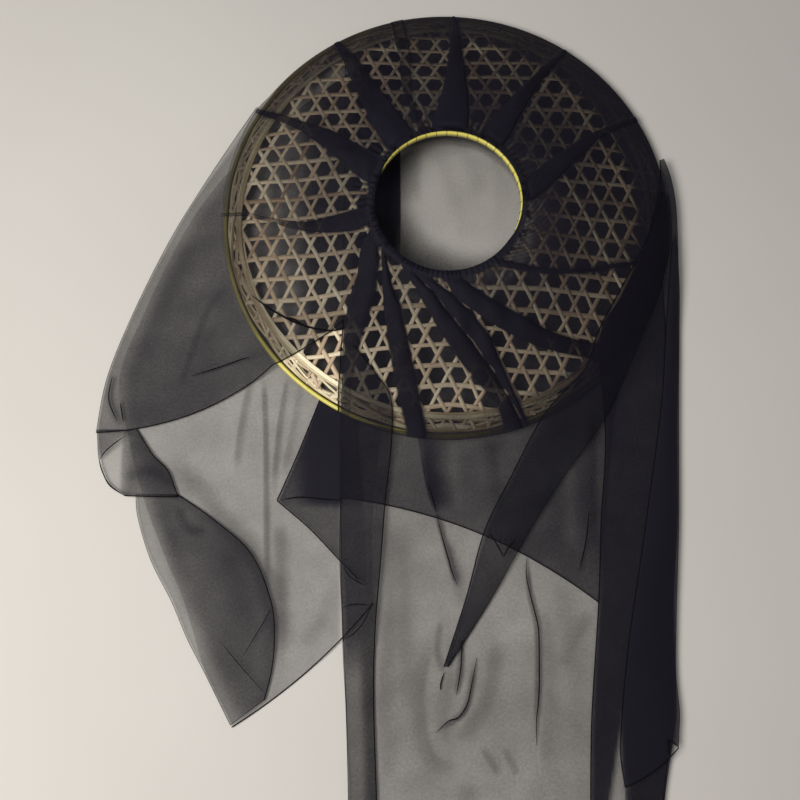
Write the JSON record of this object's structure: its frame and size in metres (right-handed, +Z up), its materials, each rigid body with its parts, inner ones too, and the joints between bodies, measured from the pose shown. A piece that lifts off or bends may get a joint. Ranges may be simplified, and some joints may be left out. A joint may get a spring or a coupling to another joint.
{
  "type": "bamboo hat with veil",
  "caption": "Open-crown woven bamboo hat lying crown up, with a long sheer veil gathered round its crown hoop and spread over the floor.",
  "frame": {"origin": "on the floor under the centre of the open crown", "axes": "+Z up along the crown's axis, -Y towards the long end of the veil, +X to the right as seen from the long end"},
  "size_m": [0.563, 0.8255, 0.0561],
  "materials": {
    "bamboo_strip": "split bamboo strip, satin, straw to tan",
    "bamboo_splint": "long bamboo splints, satin, tan with green-brown skin",
    "bamboo_hoop": "bright yellow bamboo skin, semi-gloss",
    "veil_organza": "sheer black organza with a fine grain and narrow rolled hems"
  },
  "bodies": {
    "root": {"brim_weave": "bamboo_strip", "rim_splint_band": "bamboo_splint", "rim_outer_hoop": "bamboo_hoop", "crown_hoop": "bamboo_hoop", "veil_heading": "veil_organza", "veil_brim_cover": "veil_organza", "veil_back_panel": "veil_organza", "veil_left_panel": "veil_organza", "veil_left_wing": "veil_organza", "veil_wing_curl": "veil_organza", "veil_left_flap": "veil_organza", "veil_corner_fold": "veil_organza", "veil_side_strip": "veil_organza", "veil_front_panel": "veil_organza", "veil_spike_fold": "veil_organza", "veil_right_inner_fall": "veil_organza", "veil_right_outer_fall": "veil_organza"}
  },
  "joints": []
}
